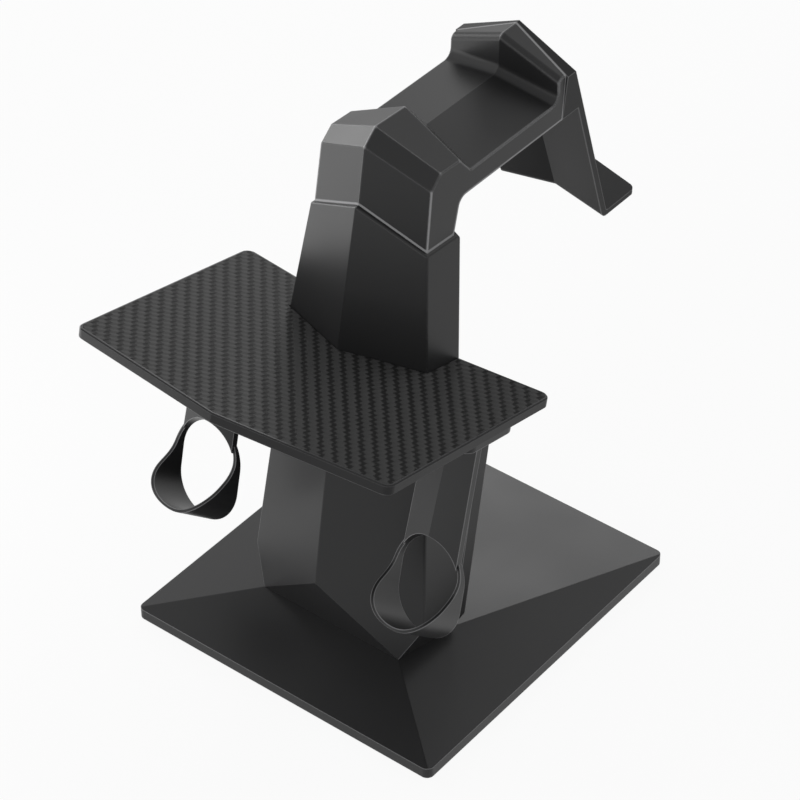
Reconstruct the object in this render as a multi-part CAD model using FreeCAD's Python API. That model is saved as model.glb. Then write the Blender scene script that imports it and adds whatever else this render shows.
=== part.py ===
"""Headset stand: faceted weighted base, split column, woven tray, two grip loops, saddle arm and face panel.

Millimetres, +Z up. The stand faces -Y and is symmetric about the YZ plane. The origin lies on the table,
at the centre of the stand's bounding box. Sizes are laid out from the centre of the base, and the whole
stand is moved to that origin as it is written.
"""
import FreeCAD, Part
import math
import os
from FreeCAD import Placement, Rotation, Vector

# Base moulding
base_width = 190.0
base_depth = 202.0
plinth_lift = 1.0            # gap under the moulding that the feet leave
plinth_height = 6.0
base_corner_radius = 4.0
base_side_slope = 15.1       # degrees above horizontal
base_front_slope = 18.5
base_rear_slope = 5.7
base_ridge_radius = 2.0
shell_wall = 3.0

# Lean of the tray, the grip loops and the rear of the lower column
tray_tilt = 12.45            # degrees, front edge high

# Tray
tray_height = 181.8          # top face above the table, on the base's cross axis
tray_half_width = 94.0
tray_thickness = 5.5
tray_front = 133.0           # along the tray face, from the cross axis to the front tips
tray_rear = 5.6
tray_rear_flat = 43.0        # half length of the straight run behind the column
tray_rear_middle = 11.9
tray_chevron = 12.0          # how far the middle of each long edge stands ahead of its tips
tray_corner_radius = 5.0
tray_edge_chamfer = 0.6
mat_rim = 1.3
mat_thickness = 1.0
mat_gap = 0.4

# Lower column
column_ridge_y = -50.6       # front ridge at the tray
column_ridge_lean = 0.151    # millimetres forward for each millimetre down
column_rake = 0.39           # front faces, millimetres back for each millimetre sideways
column_half_width = 42.1
column_flare = 0.083
column_join_rise = 7.7       # the column's widths are given this far above the tray's cross axis
rear_knee_drop = 27.8        # below the tray's cross axis
rear_knee_y = 18.2
rear_lean = 0.31
rear_shoulder = 1.24
chin_y = -59.6               # front line where the column meets the base
chin_height = 20.8
chin_undercut = 0.325
cheek_half_width = 43.7
cheek_rear_half_width = 50.3
cheek_rear_y = -19.8
cheek_rear_height = 19.0
cheek_corner = (54.3, -52.0, 42.1)
column_edge_radius = 1.5
deck_thickness = 4.0

# Rear cover of the lower column
cover_depth = 8.0
cover_wall = 5.0
cover_tongue = 6.0
cover_gap = 0.3

# Upper column
upper_ridge_lean = 0.193
upper_rake = 0.375
upper_side_lean = 0.1167
upper_rear_y = -11.4
upper_rear_height = 184.2
upper_rear_lean = 0.149
rim_side_height = 249.5      # top rim at the side faces
rim_half_width = 35.1
rim_y = -26.7
rim_gable = 0.511
rim_fall = 0.06
rim_edge_radius = 1.2

# Saddle arm
head_half_width = 33.7
head_height = 251.4          # height at which the head's widths are given
head_side_lean = 0.03
head_ridge_y = -33.7
head_ridge_height = 269.0
head_ridge_lean = 0.151
head_rake = 0.34
brow_above_seat = 12.8       # lower end of the chamfered brow, on the ridge
brow_y = -29.3
brow_rise = 0.89
brow_gable = 0.731
crown_above_brow = 7.3
crown_y = -21.1
crown_gable = 0.509
crown_fall = 0.045
crown_rear_y = 1.2
crown_drop = 1.16
head_rear_y = -4.0
head_rear_lean = 0.30
arm_depth = 18.1             # from the underside to the seat's ridge
seat_gable = 0.209
arm_underside = 267.2
arm_throat_radius = 6.0
stop_y = 74.2                # front of the raised stop at the end of the seat
stop_vee = 0.136
stop_rise = 21.0             # above the seat
stop_gable = 0.47
stop_foot_radius = 5.0
stop_brow_radius = 3.5
arm_wall = 3.0
arm_edge_radius = 1.0
spigot_length = 7.0
spigot_gap = 0.3
under_cover_thickness = 2.5

# Face panel at the end of the arm
seam_y = 88.0                # parting face on the centre line, at the top
seam_vee = 0.05
seam_lean = 0.12
panel_crest_y = 90.3         # outer face on the centre line, at the stop's height
panel_lean = 0.335
panel_vee = 0.138
panel_thickness = 4.2        # measured along Y
panel_half_width = 34.0
panel_taper = 0.019
lip_height = 191.4           # top of the lip on the centre line
lip_gable = 0.13
lip_thickness = 3.0
lip_reach = 155.3            # tip of the lip on the centre line
lip_vee = 0.132
lip_corner_radius = 4.0
bend_radius = 5.0            # outer radius between plate and lip

# Grip loops under the tray, laid out along and below the tray face
loop_inset = 24.0            # from the tray's side to the middle of the loop
loop_rear = -47.7            # rear face of the ring
ring_slope = 29.0            # degrees, how steeply the ring's axis falls to the rear
ring_centre = -101.3         # ring's axis at the rear face
ring_width = 38.8
ring_height = 50.4           # square to the axis
ring_wall = 1.8
ring_front_curve = [(-51.6, -70.0), (-51.2, -86.0), (-54.8, -94.6), (-63.9, -100.3),
                    (-72.6, -105.7), (-75.7, -110.0), (-75.3, -115.6)]
strap_half_width = 14.4      # at the tray
strap_flare = 0.017
strap_front = -48.85         # edges of the strap's front at the tray
strap_front_lean = 0.041
strap_crease = -50.1         # crease in the middle of its front at the tray
strap_crease_lean = 0.0875
strap_rear = -45.0
strap_rear_lean = 0.041
strap_length = 84.0
loop_flange_width = 45.0
loop_flange_front = -70.5
loop_flange_rear = -31.0
loop_flange_thickness = 4.0
loop_flange_radius = 7.0

# Fastenings, plate, weight and feet
base_plate_thickness = 2.0
base_plate_gap = 0.3
base_wall = 2.4
boss_diameter = 8.0
screw_diameter = 3.0
screw_head_diameter = 5.6
screw_head_height = 1.7
bolt_diameter = 5.0
bolt_head_diameter = 9.0
bolt_head_height = 4.0
bolt_spacing = 38.0
bolt_y = -34.5               # along the tray face
bolt_boss_diameter = 11.0
bolt_boss_height = 24.0
weight_width = 130.0
weight_front = -82.0
weight_rear = 44.0
weight_thickness = 6.0
weight_corner_radius = 4.0
foot_diameter = 16.0
foot_recess = 0.8
foot_chamfer = 0.5
foot_inset = 26.0
base_screw_length = 7.0
loop_screw_spacing = 28.0
loop_screw_row = -39.0      # behind the strap
loop_screw_grip = 3.3
head_screw_spacing = 30.0
head_screw_height = 250.5
head_screw_length = 9.0
panel_screw_spacing = 36.0
panel_screw_height = 278.0
panel_screw_length = 10.0
cover_screw_length = 8.0
cover_screw_rows = (18.0, 68.0)

base_screw_side_inset = 12.0
base_screw_end_inset = 13.0
space = 420.0                # larger than the stand in every direction

# Heights that follow from the sizes above
column_join_height = tray_height + column_join_rise
rear_knee_height = tray_height - rear_knee_drop
seat_height = arm_underside + arm_depth
stop_height = seat_height + stop_rise
brow_height = seat_height + brow_above_seat
crown_height = brow_height + crown_above_brow


def plane_x(x, y=0.0, z=0.0, dy=0.0, dz=0.0, out=1):
    """Return a facet whose x is given at (y, z) and changes by dy and dz for each millimetre."""
    return Vector(x, y, z), Vector(1, -dy, -dz).normalize() * out


def plane_y(y, x=0.0, z=0.0, dx=0.0, dz=0.0, out=1):
    """Return a facet whose y is given at (x, z) and changes by dx and dz for each millimetre."""
    return Vector(x, y, z), Vector(-dx, 1, -dz).normalize() * out


def plane_z(z, x=0.0, y=0.0, dx=0.0, dy=0.0, out=1):
    """Return a facet whose z is given at (x, y) and changes by dx and dy for each millimetre."""
    return Vector(x, y, z), Vector(-dx, -dy, 1).normalize() * out


def plane_through(a, b, c, inside):
    """Return the facet through three points that keeps the inside point."""
    normal = (Vector(*b) - Vector(*a)).cross(Vector(*c) - Vector(*a)).normalize()
    if normal.dot(Vector(*inside) - Vector(*a)) > 0:
        normal = normal * -1
    return Vector(*a), normal


def both_sides(facets):
    """Return the facets with their mirror images across the YZ plane."""
    mirrored = [(Vector(-p.x, p.y, p.z), Vector(-n.x, n.y, n.z)) for p, n in facets]
    return list(facets) + mirrored


def outside(facet, inset=0.0):
    """Return a block that fills everything outside a facet moved inwards by the inset."""
    point, normal = facet
    block = Part.makeBox(2 * space, 2 * space, space, Vector(-space, -space, 0))
    block.Placement = Placement(point - normal * inset, Rotation(Vector(0, 0, 1), normal))
    return block


def faceted(facets, inset=0.0):
    """Return the convex solid inside all the facets, each moved inwards by the inset."""
    block = Part.makeBox(space, space, space, Vector(-space / 2, -space / 2, -space / 8))
    return block.cut([outside(facet, inset) for facet in facets]).Solids[0]


def on_tray(shape):
    """Tip a shape drawn on the tray's level face to the tray's own slope and height."""
    placed = shape.copy()
    slope = Placement(Vector(0, 0, tray_height), Rotation(Vector(1, 0, 0), -tray_tilt))
    placed.Placement = slope * placed.Placement
    return placed


def tray_facet(drop, out=1):
    """Return the facet parallel to the tray's top face and the given distance under it."""
    slope = -math.tan(math.radians(tray_tilt))
    height = tray_height - drop / math.cos(math.radians(tray_tilt))
    return plane_z(height, dy=slope, out=out)


def rounded_plate(points, radius, thickness, top):
    """Return a plate of the given outline with rounded upright corners and its top at a height."""
    outline = Part.makePolygon([Vector(x, y, top - thickness) for x, y in points + points[:1]])
    plate = Part.Face(outline).extrude(Vector(0, 0, thickness))
    if radius == 0:
        return plate
    sharp = [e for e in plate.Edges if upright(e) and turns_sharply(e, points)]
    return plate.makeFillet(radius, sharp)


def upright(edge):
    """Tell whether an edge runs along Z."""
    a, b = edge.Vertexes[0].Point, edge.Vertexes[-1].Point
    return abs(b.z - a.z) > 0.999 * (b - a).Length


def turns_sharply(edge, points):
    """Tell whether an outline turns by more than 45 degrees at an upright edge."""
    x, y = edge.Vertexes[0].Point.x, edge.Vertexes[0].Point.y
    at = min(range(len(points)), key=lambda i: (points[i][0] - x) ** 2 + (points[i][1] - y) ** 2)
    before = Vector(points[at][0] - points[at - 1][0], points[at][1] - points[at - 1][1], 0)
    after_point = points[(at + 1) % len(points)]
    after = Vector(after_point[0] - points[at][0], after_point[1] - points[at][1], 0)
    return before.getAngle(after) > math.radians(45)


def edges_where(shape, test):
    """Return the straight edges whose two end points pass a test."""
    found = []
    for edge in shape.Edges:
        ends = [v.Point for v in edge.Vertexes]
        if len(ends) == 2 and isinstance(edge.Curve, Part.Line) and test(ends[0], ends[1]):
            found.append(edge)
    return found


def on_facet(point, facet, slack=0.02):
    """Tell whether a point lies on a facet."""
    return abs((point - facet[0]).dot(facet[1])) < slack


def edges_between(shape, first, second):
    """Return the straight edges of a shape that two facets share."""
    def shared(a, b):
        return all(on_facet(p, f) for p in (a, b) for f in (first, second))
    return edges_where(shape, shared)


def cylinder(diameter, height, x, y, z):
    """Return an upright cylinder that stands on the given point."""
    return Part.makeCylinder(diameter / 2, height, Vector(x, y, z))


def base_facets():
    """Return the sloping facets of the base, without its underside."""
    half_w, half_d, top = base_width / 2, base_depth / 2, plinth_lift + plinth_height
    side = math.tan(math.radians(base_side_slope))
    front = math.tan(math.radians(base_front_slope))
    rear = math.tan(math.radians(base_rear_slope))
    slopes = both_sides([plane_z(top, x=half_w, dx=-side)])
    slopes.append(plane_z(top, y=-half_d, dy=front))
    slopes.append(plane_z(top, y=half_d, dy=-rear))
    return slopes


def rounded_block(inset, low, high):
    """Return an upright block of the base's plan, moved inwards by the inset."""
    half_w, half_d = base_width / 2 - inset, base_depth / 2 - inset
    corners = [(-half_w, -half_d), (half_w, -half_d), (half_w, half_d), (-half_w, half_d)]
    return rounded_plate(corners, base_corner_radius - inset, high - low, high)


def column_sides():
    """Return the front, side and undercut facets of the lower column."""
    inside = (0, chin_y / 2, column_join_height / 2)
    front = plane_y(column_ridge_y, z=tray_ridge_height(), dx=column_rake, dz=column_ridge_lean, out=-1)
    side = plane_x(column_half_width, z=column_join_height, dz=-column_flare)
    cheek = plane_through((cheek_half_width, chin_y, chin_height), cheek_corner,
                          (cheek_rear_half_width, cheek_rear_y, cheek_rear_height), inside)
    chin = plane_y(chin_y, z=chin_height, dz=-chin_undercut, out=-1)
    return both_sides([front, side, cheek]) + [chin]


def tray_ridge_height():
    """Return the height of the tray's top face under the column's front ridge."""
    return tray_height - column_ridge_y * math.tan(math.radians(tray_tilt))


def column_rear():
    """Return the two facets of the lower column's rear."""
    lower = plane_y(rear_knee_y, z=rear_knee_height, dz=rear_lean)
    upper = plane_y(rear_knee_y, z=rear_knee_height, dz=-rear_shoulder)
    return [lower, upper]


def seam_facet():
    """Return the parting face between the lower column and its rear cover."""
    point, normal = column_rear()[0]
    return point - normal * cover_depth, normal


def seam_shoulder():
    """Return the parting face that follows the rear shoulder of the lower column."""
    point, normal = column_rear()[1]
    return point - normal * cover_depth, normal


def stand_body():
    """Return the base and lower column, one hollow moulding open underneath and at the rear."""
    low = plinth_lift
    slopes = base_facets()
    base = faceted(slopes + [plane_z(low, out=-1)]).common(rounded_block(0, low, space / 2))
    right, left, front, rear = slopes
    ridges = [e for side in (right, left) for end in (front, rear) for e in edges_between(base, side, end)]
    base = base.makeFillet(base_ridge_radius, ridges)
    top = tray_facet(tray_thickness)
    column = faceted(column_sides() + column_rear() + [top, plane_z(low + plinth_height, out=-1)])
    sides = column_sides()
    posts = [edges_between(column, sides[a], sides[b]) for a, b in ((0, 3), (0, 1), (3, 4))]
    column = column.makeFillet(column_edge_radius, sum(posts, []))
    column = column.cut(rear_zone())
    hollow_base = faceted(slopes, shell_wall).common(rounded_block(base_wall, low, space / 2))
    hollow_base = hollow_base.cut(outside(plane_z(low, out=-1), 0))
    hollow_column = faceted(column_sides() + [plane_z(low, out=-1)], shell_wall)
    hollow_column = hollow_column.cut([outside(tray_facet(tray_thickness + deck_thickness))]
                                      + [outside(f, cover_wall) for f in column_rear()])
    body = base.fuse(column).cut(hollow_base.fuse(hollow_column))
    bosses = [screw_boss(x, y).common(base) for x, y in base_screw_places()]
    body = body.fuse(bosses).removeSplitter()
    under = -tray_thickness - 2 * deck_thickness
    bolts = [on_tray(cylinder(bolt_diameter, 2 * deck_thickness, x, bolt_y, under)) for x in bolt_places()]
    return body.cut([base_screws()] + bolts)


def bolt_places():
    """Return the sideways positions of the two column bolts."""
    return [-bolt_spacing / 2, bolt_spacing / 2]


def rear_zone():
    """Return everything behind the parting face of the rear cover and above the base's rear slope."""
    zone = outside(seam_facet()).fuse(outside(seam_shoulder()))
    return zone.cut(outside(flipped(base_facets()[-1])))


def flipped(facet):
    """Return a facet that faces the other way."""
    return facet[0], facet[1] * -1


def column_back_cover():
    """Return the rear cover of the lower column, a trough with a tongue that plugs into the column."""
    floor = flipped(base_facets()[-1])
    ceiling = tray_facet(tray_thickness)
    sides = column_sides()
    low = [plane_z(plinth_lift + plinth_height, out=-1)]
    cover = faceted(sides + column_rear() + [ceiling] + low).common(rear_zone())
    inner = faceted(sides + low, shell_wall + cover_gap)
    inner = inner.cut([outside(f, 1) for f in column_rear()] + [outside(floor, 0), outside(ceiling, 0)])
    tongue = inner.common(outside(seam_facet(), cover_tongue))
    tongue = tongue.cut([outside(tray_facet(tray_thickness + deck_thickness + cover_gap)),
                         faceted(sides + low, cover_wall)])
    hollow = faceted(sides + low, cover_wall).cut([outside(f, cover_wall) for f in column_rear()])
    hollow = hollow.cut([outside(ceiling, cover_wall), outside(floor, cover_wall)])
    return cover.fuse(tongue).cut(hollow).removeSplitter()


def screw(point, normal, length, countersunk=True):
    """Return a screw driven into the face at a point; the normal points out of that face."""
    cone = Part.makeCone(screw_diameter / 2, screw_head_diameter / 2, screw_head_height,
                         Vector(0, 0, -screw_head_height))
    pan = cylinder(screw_head_diameter, screw_head_height, 0, 0, 0)
    placed = (cone if countersunk else pan).fuse(cylinder(screw_diameter, length, 0, 0, -length))
    placed.Placement = Placement(Vector(*point), Rotation(Vector(0, 0, 1), Vector(*normal)))
    return placed


def facet_point(facet, x, z):
    """Return the point of a facet at the given x and z."""
    point, normal = facet
    y = point.y - (normal.x * (x - point.x) + normal.z * (z - point.z)) / normal.y
    return Vector(x, y, z)


def screw_boss(x, y):
    """Return the boss over one screw of the base plate."""
    floor = plinth_lift + base_plate_thickness
    return cylinder(boss_diameter, space / 8, x, y, floor)


def base_screw_places():
    """Return the plan positions of the base plate's screws."""
    x, y = base_width / 2 - base_screw_side_inset, base_depth / 2 - base_screw_end_inset
    return [(sx * x, sy * y) for sx in (-1, 1) for sy in (-1, 1)]


def base_plate():
    """Return the flat plate that closes the base, with recesses for the feet."""
    low = plinth_lift
    plate = rounded_block(base_wall + base_plate_gap, low, low + base_plate_thickness)
    recesses = [cylinder(foot_diameter, foot_recess, x, y, low) for x, y in foot_places()]
    return plate.cut([base_screws()] + recesses)


def base_screws():
    """Return all screws of the base plate."""
    return Part.makeCompound([screw((x, y, plinth_lift), (0, 0, -1), base_screw_length)
                              for x, y in base_screw_places()])


def foot_places():
    """Return the plan positions of the feet."""
    x, y = base_width / 2 - foot_inset, base_depth / 2 - foot_inset
    return [(sx * x, sy * y) for sx in (-1, 1) for sy in (-1, 1)]


def rubber_feet():
    """Return the four round feet."""
    height = plinth_lift + foot_recess
    feet = []
    for x, y in foot_places():
        foot = cylinder(foot_diameter, height, x, y, 0)
        rim = [e for e in foot.Edges if e.BoundBox.ZMax < 0.01 and e.Length > foot_diameter]
        feet.append(foot.makeChamfer(foot_chamfer, rim))
    return Part.makeCompound(feet)


def ballast_weight():
    """Return the steel plate that rests on the base plate inside the base."""
    low = plinth_lift + base_plate_thickness
    half = weight_width / 2
    corners = [(-half, weight_front), (half, weight_front), (half, weight_rear), (-half, weight_rear)]
    return rounded_plate(corners, weight_corner_radius, weight_thickness, low + weight_thickness)


def chevron(inset):
    """Return the tray's plan outline, moved inwards by the inset."""
    half = tray_half_width - inset
    front, rear = -tray_front + inset, -tray_rear - inset
    middle = -tray_rear_middle - inset
    return [(-half, front), (0, front - tray_chevron), (half, front), (half, rear),
            (tray_rear_flat, middle), (-tray_rear_flat, middle), (-half, rear)]


def tray():
    """Return the tray plate with the shallow recess for its mat."""
    plate = rounded_plate(chevron(0), tray_corner_radius, tray_thickness, 0)
    rim = [e for e in plate.Edges if e.BoundBox.ZLength < 0.01]
    plate = plate.makeChamfer(tray_edge_chamfer, rim)
    recess = rounded_plate(chevron(mat_rim), tray_corner_radius - mat_rim, mat_thickness, 0)
    bolts = [cylinder(bolt_diameter, tray_thickness, x, bolt_y, -tray_thickness) for x in bolt_places()]
    foot = faceted(upper_sides() + [tray_facet(mat_thickness, out=-1)])
    return on_tray(plate.cut([recess] + bolts)).cut([foot, loop_screws()])


def tray_mat():
    """Return the woven mat, cut out round the foot of the upper column."""
    sheet = rounded_plate(chevron(mat_rim + 0.1), tray_corner_radius - mat_rim, mat_thickness, 0)
    foot = faceted(upper_sides(), -mat_gap)
    return on_tray(sheet).cut(foot)


def upper_sides():
    """Return the front, side and rear facets of the upper column."""
    front = plane_y(column_ridge_y, z=tray_ridge_height(), dx=upper_rake, dz=upper_ridge_lean, out=-1)
    side = plane_x(column_half_width, z=column_join_height, dz=-upper_side_lean)
    rear = plane_y(upper_rear_y, z=upper_rear_height, dz=upper_rear_lean)
    return both_sides([front, side]) + [rear]


def rim_facets(lift=0.0):
    """Return the two gable facets of the upper column's rim, raised by the lift."""
    height = rim_side_height + lift
    return both_sides([plane_z(height, x=rim_half_width, y=rim_y, dx=-rim_gable, dy=-rim_fall)])


def upper_column():
    """Return the hollow upper column, closed at its foot and open at its gabled rim."""
    foot = tray_facet(mat_thickness, out=-1)
    outer = faceted(upper_sides() + rim_facets() + [foot])
    fronts = upper_sides()
    posts = edges_between(outer, fronts[0], fronts[2])
    posts += edges_between(outer, fronts[0], fronts[1]) + edges_between(outer, fronts[2], fronts[3])
    rims = rim_facets()
    rim = [e for e in outer.Edges
           if any(all(on_facet(v.Point, r) for v in e.Vertexes) for r in rims)
           and not all(on_facet(v.Point, r) for v in e.Vertexes for r in rims)]
    outer = outer.makeFillet(rim_edge_radius, posts + rim)
    floor = tray_facet(mat_thickness - deck_thickness, out=-1)
    hollow = faceted(upper_sides(), shell_wall).cut(outside(floor))
    column = outer.cut(hollow)
    bosses = [on_tray(cylinder(bolt_boss_diameter, bolt_boss_height, x, bolt_y, -mat_thickness))
              for x in bolt_places()]
    column = column.fuse([boss.common(outer) for boss in bosses]).removeSplitter()
    return column.cut([column_bolts(), head_screws()])


def column_bolts():
    """Return the two bolts that clamp the tray between the columns."""
    under = -tray_thickness - deck_thickness
    bolts = []
    for x in bolt_places():
        head = cylinder(bolt_head_diameter, bolt_head_height, x, bolt_y, under - bolt_head_height)
        shank = cylinder(bolt_diameter, bolt_boss_height - 2 * mat_thickness - under, x, bolt_y, under)
        bolts.append(on_tray(head.fuse(shank)))
    return Part.makeCompound(bolts)


def arm_sides():
    """Return the side facets of the saddle arm."""
    return both_sides([plane_x(head_half_width, z=head_height, dz=-head_side_lean)])


def head_fronts():
    """Return the front facets of the arm's head."""
    return both_sides([plane_y(head_ridge_y, z=head_ridge_height, dx=head_rake, dz=head_ridge_lean, out=-1)])


def head_tops():
    """Return the brow, crown and drop facets of the arm's head."""
    rear_height = crown_height - crown_fall * (crown_rear_y - crown_y)
    return both_sides([plane_z(brow_height, y=brow_y, dx=-brow_gable, dy=brow_rise),
                       plane_z(crown_height, y=crown_y, dx=-crown_gable, dy=-crown_fall),
                       plane_z(rear_height, y=crown_rear_y, dx=-crown_gable, dy=-crown_drop)])


def head_rear():
    """Return the rear facet of the neck under the arm."""
    return plane_y(head_rear_y, z=head_height, dz=head_rear_lean)


def seat_facets():
    """Return the two facets of the seat."""
    return both_sides([plane_z(seat_height, dx=-seat_gable)])


def arm_end():
    """Return the two facets of the parting face between arm and panel."""
    return both_sides([plane_y(seam_y, z=stop_height, dx=-seam_vee, dz=seam_lean)])


def stop_facets():
    """Return the front and top facets of the stop at the end of the seat."""
    return both_sides([plane_y(stop_y, dx=stop_vee, out=-1), plane_z(stop_height, dx=-stop_gable)])


def arm_blocks(inset):
    """Return the four convex blocks of the arm, with every wall moved inwards by the inset."""
    floor = [plane_z(arm_underside, out=-1)]
    neck = faceted(arm_sides() + head_fronts() + [head_rear(), plane_z(arm_underside + 3 * arm_wall)], inset)
    cap = faceted(arm_sides() + head_fronts() + head_tops() + floor, inset)
    start = plane_y(head_rear_y if inset == 0 else head_rear_y + 4 * inset, out=-1)
    beam_floor = floor if inset == 0 else []
    beam = faceted(arm_sides() + seat_facets() + arm_end() + [start] + beam_floor, inset)
    stop = faceted(arm_sides() + stop_facets() + arm_end() + floor, inset)
    return neck, cap, beam, stop


def saddle_arm():
    """Return the hollow saddle arm, open under the arm and plugged into the upper column's rim."""
    neck, cap, beam, stop = arm_blocks(0)
    rim = faceted(rim_facets())
    outer = neck.fuse([cap, beam, stop]).removeSplitter().cut(rim)
    outer = soften_arm(outer)
    neck_in, cap_in, beam_in, stop_in = arm_blocks(arm_wall)
    plug_sides = upper_sides()
    plug = faceted(plug_sides, shell_wall + spigot_gap).common(faceted(rim_facets(arm_wall)))
    plug = plug.cut(faceted(rim_facets(-spigot_length)))
    socket = faceted(plug_sides, shell_wall + spigot_gap + arm_wall).cut(faceted([plane_z(space / 4)]))
    bosses = [cylinder(boss_diameter, space / 8, x, y, arm_underside + under_cover_thickness).common(outer)
              for x, y in cover_screw_places()]
    shell = outer.fuse(plug).cut([neck_in.common(socket), cap_in, beam_in, stop_in, socket.common(plug)])
    shell = shell.fuse(bosses)
    shell = shell.cut([head_screws(), arm_screws(), panel_screws()])
    return shell.removeSplitter()


def soften_arm(outer):
    """Round the throat, the stop and the long edges of the arm."""
    floor = plane_z(arm_underside, out=-1)
    outer = outer.makeFillet(arm_throat_radius, edges_between(outer, head_rear(), floor))
    seats, stops = seat_facets(), stop_facets()
    feet = edges_between(outer, seats[0], stops[0]) + edges_between(outer, seats[1], stops[2])
    outer = outer.makeFillet(stop_foot_radius, feet)
    brows = edges_between(outer, stops[0], stops[1]) + edges_between(outer, stops[2], stops[3])
    outer = outer.makeFillet(stop_brow_radius, brows)
    tops, fronts = head_tops(), head_fronts()
    rims = edges_between(outer, tops[0], fronts[0]) + edges_between(outer, tops[3], fronts[1])
    rims += [e for e in outer.Edges if e.BoundBox.ZMin > arm_underside + arm_edge_radius
             and any(all(on_facet(p, side) for p in e.discretize(3)) for side in arm_sides())]
    return outer.makeFillet(arm_edge_radius, rims)


def cover_screw_places():
    """Return the plan positions of the under cover's screws."""
    return [(0, y) for y in cover_screw_rows]


def arm_under_cover():
    """Return the plate let into the underside of the arm."""
    inset = arm_wall + spigot_gap
    start = plane_y(head_rear_y + 4 * arm_wall, out=-1)
    plate = faceted(arm_sides() + arm_end() + [start], inset)
    plate = plate.cut([outside(plane_z(arm_underside, out=-1)),
                       outside(plane_z(arm_underside + under_cover_thickness))])
    return plate.cut(arm_screws())


def arm_screws():
    """Return the two screws of the under cover."""
    return Part.makeCompound([screw((x, y, arm_underside), (0, 0, -1), cover_screw_length)
                              for x, y in cover_screw_places()])


def head_screws():
    """Return the two screws that hold the arm's plug from the rear of the upper column."""
    rear = upper_sides()[-1]
    return Part.makeCompound([screw(facet_point(rear, x, head_screw_height), rear[1], head_screw_length)
                              for x in (-head_screw_spacing / 2, head_screw_spacing / 2)])


def panel_screws():
    """Return the two screws that hold the panel from inside the arm."""
    half = panel_screw_spacing / 2
    screws = []
    for x, facet in zip((half, -half), arm_end()):
        point = facet_point(facet, x, panel_screw_height) - facet[1] * arm_wall
        screws.append(screw(point, facet[1] * -1, panel_screw_length, countersunk=False))
    return Part.makeCompound(screws)


def panel_faces(back=0.0):
    """Return the two outer facets of the panel, moved towards the stand's front by a distance."""
    return both_sides([plane_y(panel_crest_y - back, z=stop_height, dx=-panel_vee, dz=-panel_lean)])


def lip_facets(drop=0.0):
    """Return the two gabled facets of the lip, lowered by a distance."""
    return both_sides([plane_z(lip_height - drop, dx=-lip_gable)])


def panel_side():
    """Return the side facet of the panel."""
    return plane_x(panel_half_width, z=stop_height, dz=panel_taper)


def panel_half():
    """Return the right half of the panel's plate and lip, one sheet with a rounded bend."""
    middle = plane_x(0, out=-1)
    outer, inner = panel_faces()[0], flipped(panel_faces(panel_thickness)[0])
    upper, lower = lip_facets()[0], flipped(lip_facets(lip_thickness)[0])
    tip = plane_y(lip_reach, dx=-lip_vee)
    plate = faceted([panel_side(), middle, outer, inner, lower, plane_z(arm_underside + 1)])
    lip = faceted([panel_side(), middle, upper, lower, inner, tip])
    lip = lip.makeFillet(lip_corner_radius, edges_between(lip, panel_side(), tip))
    sheet = plate.fuse(lip).removeSplitter()
    sheet = sheet.makeFillet(bend_radius, edges_between(sheet, inner, lower))
    return sheet.makeFillet(bend_radius - lip_thickness, edges_between(sheet, outer, upper))


def face_panel():
    """Return the panel on the end of the arm: block, hanging plate and lip."""
    top = [stop_facets()[1], stop_facets()[3]]
    block = faceted(both_sides([panel_side()]) + panel_faces() + top + [plane_z(arm_underside, out=-1)])
    block = block.cut(faceted(arm_end()))
    half = panel_half()
    mirrored = half.mirror(Vector(0, 0, 0), Vector(1, 0, 0))
    return block.fuse([half, mirrored]).removeSplitter().cut(panel_screws())


def loop_flange():
    """Return the plate that carries one loop under the tray, with its loop centred on the YZ plane."""
    half = loop_flange_width / 2
    front, rear = loop_flange_front, loop_flange_rear
    corners = [(-half, front), (half, front), (half, rear), (-half, rear)]
    return rounded_plate(corners, loop_flange_radius, loop_flange_thickness, -tray_thickness)


def oval(width, height):
    """Return a face of two half circles joined by straight sides, in the XY plane."""
    half, run = width / 2, (height - width) / 2
    right = Part.makeLine(Vector(half, -run, 0), Vector(half, run, 0))
    top = Part.Arc(Vector(half, run, 0), Vector(0, run + half, 0), Vector(-half, run, 0)).toShape()
    left = Part.makeLine(Vector(-half, run, 0), Vector(-half, -run, 0))
    bottom = Part.Arc(Vector(-half, -run, 0), Vector(0, -run - half, 0), Vector(half, -run, 0)).toShape()
    return Part.Face(Part.Wire([right, top, left, bottom]))


def ring_tube(width, height):
    """Return an oval bar along the ring's axis."""
    bar = oval(width, height).extrude(Vector(0, 0, space / 2))
    bar.translate(Vector(0, 0, -space / 4))
    bar.Placement = Placement(Vector(0, loop_rear, ring_centre),
                              Rotation(Vector(1, 0, 0), 90 - ring_slope)) * bar.Placement
    return bar


def ring_profile():
    """Return the side view of the ring as a thick slab across it."""
    points = [Vector(-ring_width, y, z) for y, z in ring_front_curve]
    curve = Part.BSplineCurve()
    curve.interpolate(points)
    top = Vector(-ring_width, points[0].y, points[0].z + ring_width)
    tail = Vector(-ring_width, points[-1].y, 2 * ring_centre)
    heel = Vector(-ring_width, loop_rear, 2 * ring_centre)
    head = Vector(-ring_width, loop_rear, top.z)
    lines = Part.makePolygon([points[-1], tail, heel, head, top, points[0]]).Edges
    face = Part.Face(Part.Wire([curve.toShape()] + lines))
    return face.extrude(Vector(2 * ring_width, 0, 0))


def strap_section(depth):
    """Return the strap's outline at a depth under the tray, with the crease in its front."""
    half = strap_half_width + strap_flare * depth
    front = strap_front - strap_front_lean * depth
    crease = strap_crease - strap_crease_lean * depth
    rear = strap_rear - strap_rear_lean * depth
    corners = [(-half, rear), (-half, front), (0, crease), (half, front), (half, rear)]
    return Part.makePolygon([Vector(x, y, -depth) for x, y in corners + corners[:1]])


def strap():
    """Return the strap of one loop, from its flange down to the middle of the ring."""
    return Part.makeLoft([strap_section(tray_thickness), strap_section(strap_length)], True, True)


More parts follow.
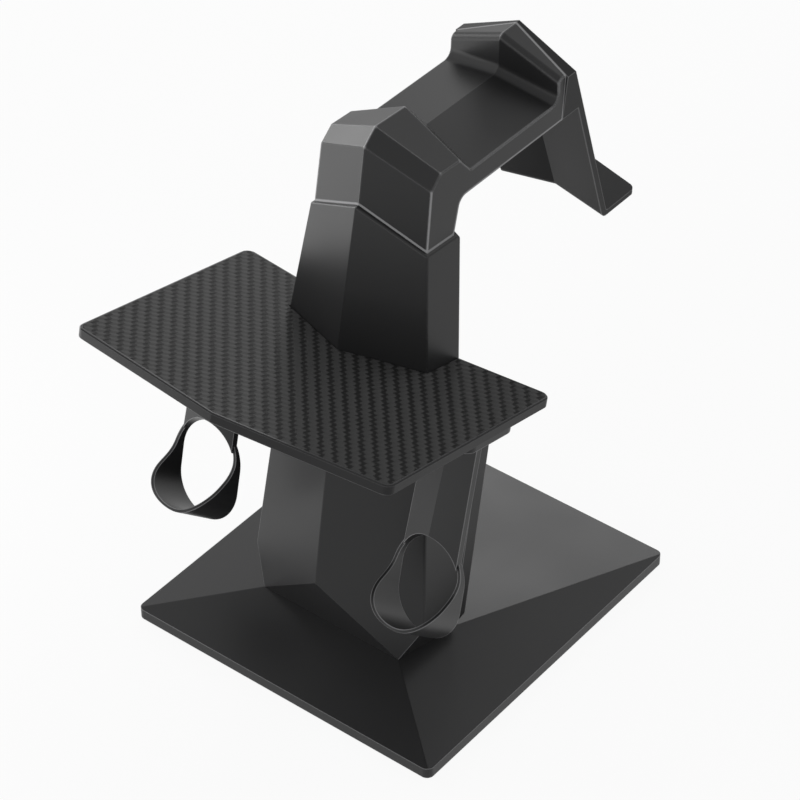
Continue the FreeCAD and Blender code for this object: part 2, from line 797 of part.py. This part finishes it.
def grip_loop():
    """Return one grip loop centred on the YZ plane: flange, strap and ring."""
    bore = ring_tube(ring_width - 2 * ring_wall, ring_height - 2 * ring_wall)
    ring = ring_tube(ring_width, ring_height).common(ring_profile())
    loop = loop_flange().fuse([strap(), ring]).removeSplitter()
    return loop.cut(bore)


def loop_centres():
    """Return the sideways positions of the two loops."""
    place = tray_half_width - loop_inset
    return [-place, place]


def loop_at(x):
    """Return one loop in its place under the tray."""
    loop = grip_loop()
    loop.translate(Vector(x, 0, 0))
    return on_tray(loop).cut(loop_screws())


def loop_screws():
    """Return the four screws that hold the loops to the tray."""
    under = -tray_thickness - loop_flange_thickness
    length = loop_flange_thickness + loop_screw_grip
    spread = loop_screw_spacing / 2
    return Part.makeCompound([on_tray(screw((x + dx, loop_screw_row, under), (0, 0, -1), length))
                              for x in loop_centres() for dx in (-spread, spread)])


def build():
    """Return every piece of the stand by name."""
    return {
        "stand_body": stand_body(),
        "column_back_cover": column_back_cover(),
        "base_plate": base_plate(),
        "base_screws": base_screws(),
        "rubber_feet": rubber_feet(),
        "ballast_weight": ballast_weight(),
        "tray": tray(),
        "tray_mat": tray_mat(),
        "upper_column": upper_column(),
        "column_bolts": column_bolts(),
        "saddle_arm": saddle_arm(),
        "arm_under_cover": arm_under_cover(),
        "arm_screws": arm_screws(),
        "head_screws": head_screws(),
        "face_panel": face_panel(),
        "panel_screws": panel_screws(),
        "left_loop": loop_at(loop_centres()[0]),
        "right_loop": loop_at(loop_centres()[1]),
        "loop_screws": loop_screws(),
    }


if __name__ == "__main__":
    os.makedirs("parts", exist_ok=True)
    pieces = build()
    box = Part.makeCompound(list(pieces.values())).BoundBox
    for name, shape in pieces.items():
        shape.translate(Vector(0, -(box.YMin + box.YMax) / 2, 0))
        shape.exportStep("parts/" + name + ".step")
        print(name, len(shape.Solids), round(shape.Volume), shape.isValid())
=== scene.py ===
"""Dress the headset stand: charcoal mouldings, a woven tray mat, and the studio it is photographed in."""

import logging
import math
from dataclasses import dataclass, field
from enum import Enum

import bpy
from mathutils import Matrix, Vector


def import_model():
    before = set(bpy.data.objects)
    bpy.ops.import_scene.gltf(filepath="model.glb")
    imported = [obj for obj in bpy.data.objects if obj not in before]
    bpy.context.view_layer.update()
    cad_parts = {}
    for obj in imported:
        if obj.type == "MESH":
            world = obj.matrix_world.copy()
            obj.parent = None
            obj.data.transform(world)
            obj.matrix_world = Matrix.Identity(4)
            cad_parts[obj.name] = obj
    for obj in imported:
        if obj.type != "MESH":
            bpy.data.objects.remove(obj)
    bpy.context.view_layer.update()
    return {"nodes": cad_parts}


log = logging.getLogger("headset_stand")

MM = 0.001
NOISE_MEAN = 0.5

Material = bpy.types.Material
Tree = bpy.types.ShaderNodeTree
Node = bpy.types.Node
Socket = bpy.types.NodeSocket
Colour = tuple[float, float, float]


def new_material(name: str) -> tuple[Material, Tree, Node]:
    """Make an empty material with one Principled shader.

    Args:
        name: the finish's plain name.

    Returns:
        The material, its node tree and its Principled shader.
    """
    material = bpy.data.materials.new(name)
    material.use_nodes = True
    tree = material.node_tree
    return material, tree, tree.nodes["Principled BSDF"]


def new_group(name: str, inputs: tuple[str, ...], outputs: tuple[str, ...]) -> tuple[Tree, Node, Node]:
    """Make an empty shader group whose sockets are all numbers.

    Args:
        name: the effect's plain name.
        inputs: the names of its inputs.
        outputs: the names of its outputs.

    Returns:
        The group, its input node and its output node.
    """
    group = bpy.data.node_groups.new(name, "ShaderNodeTree")
    for side, labels in (("INPUT", inputs), ("OUTPUT", outputs)):
        for label in labels:
            group.interface.new_socket(label, in_out=side, socket_type="NodeSocketFloat")
    return group, group.nodes.new("NodeGroupInput"), group.nodes.new("NodeGroupOutput")


def add_group(tree: Tree, group: Tree, values: dict[str, float]) -> Node:
    """Place a shared group in a material.

    Args:
        tree: the tree that gets the group.
        group: the group.
        values: the number for each of its inputs.

    Returns:
        The group's node.
    """
    node = tree.nodes.new("ShaderNodeGroup")
    node.node_tree = group
    for name, value in values.items():
        node.inputs[name].default_value = value
    return node


def add_math(tree: Tree, operation: str, first: Socket | float, second: Socket | float = 0.0) -> Socket:
    """Add one Math node.

    Args:
        tree: the tree that gets the node.
        operation: what the node does.
        first: a socket or a number.
        second: a socket or a number, for an operation on two.

    Returns:
        The node's output socket.
    """
    node = tree.nodes.new("ShaderNodeMath")
    node.operation = operation
    for socket, value in zip(node.inputs, (first, second)):
        if isinstance(value, (int, float)):
            socket.default_value = value
        else:
            tree.links.new(value, socket)
    return node.outputs[0]


def add_noise(tree: Tree, place: Socket, detail: float) -> Node:
    """Add a noise texture.

    Args:
        tree: the tree that gets the node.
        place: the coordinates it reads.
        detail: how many finer layers it has.

    Returns:
        The noise node.
    """
    node = tree.nodes.new("ShaderNodeTexNoise")
    node.inputs["Detail"].default_value = detail
    tree.links.new(place, node.inputs["Vector"])
    return node


def add_turn(tree: Tree, vector: Socket, axis: str, degrees: float) -> Socket:
    """Add a turn of a vector about one axis.

    Args:
        tree: the tree that gets the node.
        vector: the socket to turn.
        axis: the axis, such as X_AXIS.
        degrees: how far it turns.

    Returns:
        The turned vector's socket.
    """
    node = tree.nodes.new("ShaderNodeVectorRotate")
    node.rotation_type = axis
    node.inputs["Angle"].default_value = math.radians(degrees)
    tree.links.new(vector, node.inputs["Vector"])
    return node.outputs["Vector"]


def add_axes(tree: Tree, vector: Socket) -> Node:
    """Add a node that splits a vector.

    Args:
        tree: the tree that gets the node.
        vector: the socket to split.

    Returns:
        The node, with outputs X, Y and Z.
    """
    node = tree.nodes.new("ShaderNodeSeparateXYZ")
    tree.links.new(vector, node.inputs["Vector"])
    return node


def add_ramp(tree: Tree, value: Socket, stops: tuple[tuple[float, float], ...]) -> Socket:
    """Add a grey colour ramp.

    Args:
        tree: the tree that gets the node.
        value: the socket that drives the ramp.
        stops: positions and grey levels.

    Returns:
        The ramp's colour socket.
    """
    node = tree.nodes.new("ShaderNodeValToRGB")
    ramp = node.color_ramp
    while len(ramp.elements) < len(stops):
        ramp.elements.new(position=1.0)
    for element, (position, level) in zip(ramp.elements, stops):
        element.position = position
        element.color = (level, level, level, 1.0)
    tree.links.new(value, node.inputs["Fac"])
    return node.outputs["Color"]


def add_range(tree: Tree, value: Socket, limits: tuple[float, float]) -> Socket:
    """Add a Map Range node that runs smoothly from 0 to 1.

    Args:
        tree: the tree that gets the node.
        value: the socket to map.
        limits: what becomes 0 and what becomes 1.

    Returns:
        The mapped socket.
    """
    node = tree.nodes.new("ShaderNodeMapRange")
    node.interpolation_type = "SMOOTHSTEP"
    node.inputs["From Min"].default_value, node.inputs["From Max"].default_value = limits
    tree.links.new(value, node.inputs["Value"])
    return node.outputs["Result"]


def add_mix(tree: Tree, factor: Socket, first: Colour, second: Colour) -> Socket:
    """Add a colour mix.

    Args:
        tree: the tree that gets the node.
        factor: the socket that mixes.
        first: linear colour at 0.
        second: linear colour at 1.

    Returns:
        The mixed colour's socket.
    """
    node = tree.nodes.new("ShaderNodeMix")
    node.data_type = "RGBA"
    node.inputs["A"].default_value = (*first, 1.0)
    node.inputs["B"].default_value = (*second, 1.0)
    tree.links.new(factor, node.inputs["Factor"])
    return node.outputs["Result"]


def add_bump(tree: Tree, height: Socket, strength: float, depth: float) -> Socket:
    """Add a bump.

    Args:
        tree: the tree that gets the node.
        height: the relief's socket.
        strength: how much of the relief is felt.
        depth: how high a relief of 1 stands, in metres.

    Returns:
        The bumped normal's socket.
    """
    node = tree.nodes.new("ShaderNodeBump")
    node.inputs["Strength"].default_value = strength
    node.inputs["Distance"].default_value = depth
    tree.links.new(height, node.inputs["Height"])
    return node.outputs["Normal"]


@dataclass
class Effects:
    """The shader groups that more than one finish uses.

    Attributes:
        grain_detail: how many finer layers the grain of a skin has.
        cloud_detail: the same for the soft change of its roughness.
        cloud_scale: how many of those clouds there are to a metre.
        edge_rays: how many rays look for an outer edge.
        edge_share: the shares of rays that meet a face where the painted highlight starts and where it is
            full.
        lean: how far from level a face is, as 1 less its normal's Z, where the painted highlight starts
            and is full.
        skin: the group that gives a moulded or turned surface its grain.
        edge: the group that masks the painted highlight along outer edges.
    """

    grain_detail: float = 3.0
    cloud_detail: float = 2.0
    cloud_scale: float = 14.0
    edge_rays: int = 16
    edge_share: tuple[float, float] = (0.07, 0.19)
    lean: tuple[float, float] = (0.006, 0.012)
    skin: Tree = field(init=False)
    edge: Tree = field(init=False)

    def __post_init__(self) -> None:
        """Build each group once."""
        self.skin = self._moulded_skin()
        self.edge = self._edge_highlight_group()

    def _moulded_skin(self) -> Tree:
        """Build the fine spark texture of a moulded skin.

        Returns:
            A group that gives a height and a roughness that changes a little over the surface.
        """
        labels = ("Grain Size", "Roughness", "Variation")
        group, entry, leave = new_group("moulding_skin", labels, ("Height", "Roughness"))
        place = group.nodes.new("ShaderNodeTexCoord").outputs["Object"]
        grain = add_noise(group, place, self.grain_detail)
        scale = add_math(group, "DIVIDE", 1.0, entry.outputs["Grain Size"])
        group.links.new(scale, grain.inputs["Scale"])
        cloud = add_noise(group, place, self.cloud_detail)
        cloud.inputs["Scale"].default_value = self.cloud_scale
        centred = add_math(group, "SUBTRACT", cloud.outputs["Fac"], NOISE_MEAN)
        change = add_math(group, "MULTIPLY", centred, entry.outputs["Variation"])
        rough = add_math(group, "ADD", entry.outputs["Roughness"], change)
        group.links.new(grain.outputs["Fac"], leave.inputs["Height"])
        group.links.new(rough, leave.inputs["Roughness"])
        return group

    def _edge_highlight_group(self) -> Tree:
        """Build the mask of a thin painted highlight along outer edges.

        Rays that leave the surface inwards meet the next face only beside an outer edge. A level face
        that looks up has no line.

        Returns:
            A group that gives a mask, 1 on an outer edge and 0 on a face or in an inner corner.
        """
        group, entry, leave = new_group("edge_highlight_mask", ("Reach",), ("Mask",))
        within = group.nodes.new("ShaderNodeAmbientOcclusion")
        within.samples = self.edge_rays
        within.inside = True
        within.only_local = True
        group.links.new(entry.outputs["Reach"], within.inputs["Distance"])
        met = add_math(group, "SUBTRACT", 1.0, within.outputs["AO"])
        line = add_range(group, met, self.edge_share)
        normal = add_axes(group, group.nodes.new("ShaderNodeNewGeometry").outputs["True Normal"])
        tilted = add_range(group, add_math(group, "SUBTRACT", 1.0, normal.outputs["Z"]), self.lean)
        group.links.new(add_math(group, "MULTIPLY", line, tilted), leave.inputs["Mask"])
        return group


@dataclass(frozen=True)
class MouldedFinish:
    """A spark-textured plastic skin with painted highlights along its outer edges.

    Attributes:
        name: the finish's plain name.
        colour: linear base colour.
        roughness: mean roughness.
        variation: how much the roughness changes over the surface.
        grain_size: width of one grain, in metres.
        grain_depth: height of the grain, in metres.
        grain_strength: how much of that height is felt.
        specular: strength of the skin's reflection.
        edge_highlight_reach: how far the painted highlight runs in from an edge, in metres.
        edge_highlight_colour: linear colour of that painted highlight.
    """

    name: str
    colour: Colour = (0.0172, 0.0172, 0.0177)
    roughness: float = 0.36
    variation: float = 0.12
    grain_size: float = 0.0006
    grain_depth: float = 0.00002
    grain_strength: float = 0.35
    specular: float = 0.25
    edge_highlight_reach: float = 0.0006
    edge_highlight_colour: Colour = (0.26, 0.26, 0.265)

    def build(self, effects: Effects) -> Material:
        """Make the material.

        Args:
            effects: the shared shader groups.

        Returns:
            The finished material.
        """
        material, tree, shader = new_material(self.name)
        skin = add_group(tree, effects.skin, {
            "Grain Size": self.grain_size, "Roughness": self.roughness, "Variation": self.variation})
        normal = add_bump(tree, skin.outputs["Height"], self.grain_strength, self.grain_depth)
        # A lighter colour mixed in along outer edges is a painted highlight.
        edge = add_group(tree, effects.edge, {"Reach": self.edge_highlight_reach})
        paint = add_mix(tree, edge.outputs["Mask"], self.colour, self.edge_highlight_colour)
        tree.links.new(paint, shader.inputs["Base Color"])
        tree.links.new(skin.outputs["Roughness"], shader.inputs["Roughness"])
        tree.links.new(normal, shader.inputs["Normal"])
        shader.inputs["Specular IOR Level"].default_value = self.specular
        return material


@dataclass(frozen=True)
class MetalFinish:
    """A turned or sawn metal.

    Attributes:
        name: the finish's plain name.
        colour: linear base colour.
        roughness: mean roughness.
        variation: how much the roughness changes over the surface.
        grain_size: width of one tool mark, in metres.
    """

    name: str
    colour: Colour
    roughness: float = 0.35
    variation: float = 0.2
    grain_size: float = 0.0003

    def build(self, effects: Effects) -> Material:
        """Make the material.

        Args:
            effects: the shared shader groups.

        Returns:
            The finished material.
        """
        material, tree, shader = new_material(self.name)
        skin = add_group(tree, effects.skin, {
            "Grain Size": self.grain_size, "Roughness": self.roughness, "Variation": self.variation})
        tree.links.new(skin.outputs["Roughness"], shader.inputs["Roughness"])
        shader.inputs["Base Color"].default_value = (*self.colour, 1.0)
        shader.inputs["Metallic"].default_value = 1.0
        return material


@dataclass(frozen=True)
class WovenFinish:
    """A twill of flat tows, its ribs laid across the tray at a slant.

    Attributes:
        name: the finish's plain name.
        tray_tilt: how far the mat leans towards the rear, in degrees.
        rib_turn: direction of the ribs in the mat's own plane, in degrees from +X.
        rib_width: distance from rib to rib, in metres.
        rib_profile: places across a rib, from 0 to 1, and its relief there, which also sets its painted
            light and shade.
        tow_pitch: distance from one tow's step to the next along a rib, in metres.
        tow_swing: how far a rib swings aside along a tow, as a share of its width.
        stroke_width: width of one fibre stroke, in metres.
        stroke_detail: how many finer layers the strokes have.
        fray: how far the strokes break a rib's outline, as a share of its width.
        light: linear grey of a rib's crest, painted lighter as lit.
        shaded_gap_grey: linear grey of the gap beside it, painted darker as shade.
        roughness: roughness of the mat.
        specular: strength of the mat's reflection.
        relief: how much of the weave's height is felt.
        depth: how high a rib stands, in metres.
    """

    name: str
    tray_tilt: float = 12.45
    rib_turn: float = 130.0
    rib_width: float = 0.0062
    rib_profile: tuple[tuple[float, float], ...] = (
        (0.0, 0.2), (0.08, 1.0), (0.58, 0.8), (0.68, 0.1), (0.92, 0.0), (1.0, 0.2))
    tow_pitch: float = 0.0040
    tow_swing: float = 0.25
    stroke_width: float = 0.0009
    stroke_detail: float = 1.0
    fray: float = 0.35
    light: float = 0.074
    shaded_gap_grey: float = 0.020
    roughness: float = 0.45
    specular: float = 0.06
    relief: float = 0.7
    depth: float = 0.0003

    def build(self, effects: Effects) -> Material:
        """Make the material.

        Args:
            effects: the shared shader groups; a weave needs none of them.

        Returns:
            The finished material.
        """
        material, tree, shader = new_material(self.name)
        place = tree.nodes.new("ShaderNodeTexCoord").outputs["Object"]
        level = add_turn(tree, place, "X_AXIS", self.tray_tilt)
        weave = add_axes(tree, add_turn(tree, level, "Z_AXIS", -self.rib_turn))
        half_tows = add_math(tree, "DIVIDE", weave.outputs["X"], self.tow_pitch / 2.0)
        crown = add_math(tree, "PINGPONG", half_tows, 1.0)
        across = add_math(tree, "DIVIDE", weave.outputs["Y"], self.rib_width)
        swung = add_math(tree, "ADD", across, add_math(tree, "MULTIPLY", crown, self.tow_swing))
        strokes = add_noise(tree, place, self.stroke_detail)
        strokes.inputs["Scale"].default_value = 1.0 / self.stroke_width
        centred = add_math(tree, "SUBTRACT", strokes.outputs["Fac"], NOISE_MEAN)
        frayed = add_math(tree, "MULTIPLY", centred, self.fray)
        rib = add_math(tree, "FRACT", add_math(tree, "ADD", swung, frayed))
        # The ribs' colour follows their relief: crests are painted lighter as lit and gaps darker as
        # shade, over the weave's own pattern.
        mask = add_ramp(tree, rib, self.rib_profile)
        paint = add_mix(tree, mask, (self.shaded_gap_grey,) * 3, (self.light,) * 3)
        height = add_math(tree, "ADD", mask, crown)
        tree.links.new(paint, shader.inputs["Base Color"])
        tree.links.new(add_bump(tree, height, self.relief, self.depth), shader.inputs["Normal"])
        shader.inputs["Roughness"].default_value = self.roughness
        shader.inputs["Specular IOR Level"].default_value = self.specular
        return material


class Finish(Enum):
    """Every finish of the stand; its mouldings are one plastic, each with its own painted edge highlight.
    """

    # The lighter edge colours are painted highlights, brightest on the arm and faint on the body.
    BODY = MouldedFinish("charcoal_body_skin", edge_highlight_reach=0.0005, edge_highlight_colour=(0.15, 0.15, 0.153))
    HEAD = MouldedFinish("charcoal_head_skin")
    ARM = MouldedFinish("charcoal_arm_skin", edge_highlight_reach=0.0015, edge_highlight_colour=(0.27, 0.27, 0.275))
    TRAY = MouldedFinish("charcoal_tray_skin", specular=0.16, edge_highlight_colour=(0.10, 0.10, 0.102))
    PANEL = MouldedFinish("charcoal_panel_skin", specular=0.09, edge_highlight_colour=(0.12, 0.12, 0.122))
    BLACK_STEEL = MetalFinish("black_steel", (0.06, 0.06, 0.062))
    WOVEN = WovenFinish("woven_mat")
    RUBBER = MouldedFinish("foot_rubber", colour=(0.012, 0.012, 0.012), roughness=0.75, grain_size=0.0012)
    PLATE = MouldedFinish("base_plate_skin", colour=(0.015, 0.015, 0.016), roughness=0.55)
    PLAIN_STEEL = MetalFinish("plain_steel", (0.42, 0.42, 0.43), 0.3)


@dataclass(frozen=True)
class SubAssembly:
    """One sub-assembly of the stand, whose shapes are all CAD nodes.

    Attributes:
        name: its plain name.
        finishes: the finish of each of its nodes, by the node's name.
    """

    name: str
    finishes: dict[str, Finish]

    def dress(self, nodes: dict[str, bpy.types.Object], materials: dict[Finish, Material]) -> None:
        """Give each node its finish.

        Args:
            nodes: the CAD nodes by name.
            materials: the material of each finish.
        """
        for node, finish in self.finishes.items():
            for slot in nodes[node].material_slots:
                slot.material = materials[finish]
            log.info("%s: %s dressed in %s", self.name, node, materials[finish].name)


STAND = (
    SubAssembly("base", {
        "stand_body": Finish.BODY,
        "base_plate": Finish.PLATE,
        "base_screws": Finish.BLACK_STEEL,
        "rubber_feet": Finish.RUBBER,
        "ballast_weight": Finish.PLAIN_STEEL,
    }),
    SubAssembly("column", {
        "column_back_cover": Finish.BODY,
        "upper_column": Finish.HEAD,
        "column_bolts": Finish.BLACK_STEEL,
    }),
    SubAssembly("tray", {
        "tray": Finish.TRAY,
        "tray_mat": Finish.WOVEN,
    }),
    SubAssembly("controller loops", {
        "left_loop": Finish.BODY,
        "right_loop": Finish.BODY,
        "loop_screws": Finish.BLACK_STEEL,
    }),
    SubAssembly("headset arm", {
        "saddle_arm": Finish.ARM,
        "head_screws": Finish.BLACK_STEEL,
        "arm_under_cover": Finish.HEAD,
        "arm_screws": Finish.BLACK_STEEL,
        "face_panel": Finish.PANEL,
        "panel_screws": Finish.BLACK_STEEL,
    }),
)


def place_facing(thing: bpy.types.Object, aim: Vector, away: Vector, distance: float) -> None:
    """Place a lamp or camera so that it faces a point.

    Args:
        thing: the lamp or camera.
        aim: the point.
        away: unit direction from the point to the lamp or camera.
        distance: how far off it stands, in metres.
    """
    thing.location = aim + away * distance
    thing.rotation_euler = (-away).to_track_quat("-Z", "Y").to_euler()
    bpy.context.collection.objects.link(thing)


@dataclass(frozen=True)
class Lamp:
    """One square soft box that faces the stand.

    Attributes:
        name: the lamp's plain name.
        towards: direction from the stand to the lamp.
        power: its power, in watts.
        size: its side, in metres.
        distance: how far it hangs from the stand, in metres.
    """

    name: str
    towards: tuple[float, float, float]
    power: float
    size: float
    distance: float = 1.7

    def hang(self, aim: Vector) -> None:
        """Hang the lamp.

        Args:
            aim: the point it faces.
        """
        data = bpy.data.lights.new(self.name, "AREA")
        data.size = self.size
        data.energy = self.power
        lamp = bpy.data.objects.new(self.name, data)
        place_facing(lamp, aim, Vector(self.towards).normalized(), self.distance)


SOFT_BOXES = (
    Lamp("left_card", (-0.35, -0.20, -0.07), 0.72, 0.36, 0.41),
    Lamp("left_window", (-1.0, 0.0, 0.08), 9.0, 0.7),
    Lamp("back_left_window", (-0.448, 0.784, 0.431), 4.4, 0.45, 1.79),
    Lamp("back_ceiling", (0.2, 0.64, 0.74), 1.6, 0.7),
    Lamp("front_screen", (0.09, -0.98, 0.17), 6.2, 0.9),
)


@dataclass
class Studio:
    """The floor, the lamps and the white surroundings.

    Attributes:
        floor_size: side of the square floor, in metres.
        floor_drop: how far the floor lies below the feet, in metres, so that no two faces share a plane.
        floor_grey: linear grey of the floor as the lamps see it.
        ambient: strength of the surroundings for matt surfaces.
        shadow: how much of the object's shadow the camera sees on the white floor.
        aim: the point that the lamps face.
    """

    floor_size: float = 40.0
    floor_drop: float = 0.0003
    floor_grey: float = 0.8
    ambient: float = 0.5
    shadow: float = 0.08
    aim: tuple[float, float, float] = (0.0, 0.0, 0.15)

    def build(self) -> None:
        """Build the floor, the world and the lamps."""
        self._floor()
        self._world()
        for lamp in SOFT_BOXES:
            lamp.hang(Vector(self.aim))

    @staticmethod
    def _plain_view(tree: Tree) -> Socket:
        """Tell rays that show the background from rays that only light the object.

        Args:
            tree: the tree that gets the nodes.

        Returns:
            A socket that is 1 for camera, glossy and transmission rays.
        """
        path = tree.nodes.new("ShaderNodeLightPath")
        seen = add_math(tree, "MAXIMUM", path.outputs["Is Camera Ray"], path.outputs["Is Glossy Ray"])
        return add_math(tree, "MAXIMUM", seen, path.outputs["Is Transmission Ray"])

    def _floor(self) -> None:
        """Lay the floor, white where it is seen, with a faint shadow, and pale to the lamps."""
        bpy.ops.mesh.primitive_plane_add(size=self.floor_size, location=(0.0, 0.0, -self.floor_drop))
        floor = bpy.context.object
        floor.name = "floor"
        material, tree, shader = new_material("pale_floor")
        shader.inputs["Base Color"].default_value = (self.floor_grey,) * 3 + (1.0,)
        shader.inputs["Roughness"].default_value = 1.0
        glow = tree.nodes.new("ShaderNodeEmission")
        mix = tree.nodes.new("ShaderNodeMixShader")
        white = add_math(tree, "MULTIPLY", self._plain_view(tree), 1.0 - self.shadow)
        tree.links.new(white, mix.inputs["Fac"])
        tree.links.new(shader.outputs["BSDF"], mix.inputs[1])
        tree.links.new(glow.outputs["Emission"], mix.inputs[2])
        tree.links.new(mix.outputs["Shader"], tree.nodes["Material Output"].inputs["Surface"])
        floor.data.materials.append(material)

    def _world(self) -> None:
        """Make the surroundings white where they are seen and softer to matt surfaces."""
        world = bpy.data.worlds.new("white_studio")
        world.use_nodes = True
        bpy.context.scene.world = world
        tree = world.node_tree
        back = tree.nodes["Background"]
        back.inputs["Color"].default_value = (1.0, 1.0, 1.0, 1.0)
        seen = add_math(tree, "MULTIPLY", self._plain_view(tree), 1.0 - self.ambient)
        tree.links.new(add_math(tree, "ADD", seen, self.ambient), back.inputs["Strength"])


@dataclass
class PhotoCamera:
    """The photograph's camera.

    Attributes:
        azimuth: how far it stands round to the right of the front, in degrees.
        elevation: how far it stands above the level, in degrees.
        target: the point on the optical axis at the object.
        distance: from that point to the lens, in metres.
        lens: focal length, in millimetres.
        sensor: width of the picture behind the lens, in millimetres.
    """

    azimuth: float = 38.1118
    elevation: float = 39.5526
    target: tuple[float, float, float] = (-1.976 * MM, -6.327 * MM, 127.63 * MM)
    distance: float = 1.6142
    lens: float = 145.86
    sensor: float = 36.0

    def build(self) -> None:
        """Place the camera and make it the scene's own."""
        turn, rise = math.radians(self.azimuth), math.radians(self.elevation)
        away = Vector((math.sin(turn) * math.cos(rise), -math.cos(turn) * math.cos(rise), math.sin(rise)))
        data = bpy.data.cameras.new("photo_camera")
        data.lens = self.lens
        data.sensor_width = self.sensor
        camera = bpy.data.objects.new("photo_camera", data)
        place_facing(camera, Vector(self.target), away, self.distance)
        bpy.context.scene.camera = camera


def main() -> None:
    """Set the camera, dress each sub-assembly and build the studio."""
    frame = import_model()
    PhotoCamera().build()
    effects = Effects()
    materials = {finish: finish.value.build(effects) for finish in Finish}
    for assembly in STAND:
        assembly.dress(frame["nodes"], materials)
    Studio().build()
    bpy.context.scene.view_settings.view_transform = "Standard"


if __name__ == "__main__":
    logging.basicConfig(level=logging.INFO)
    main()
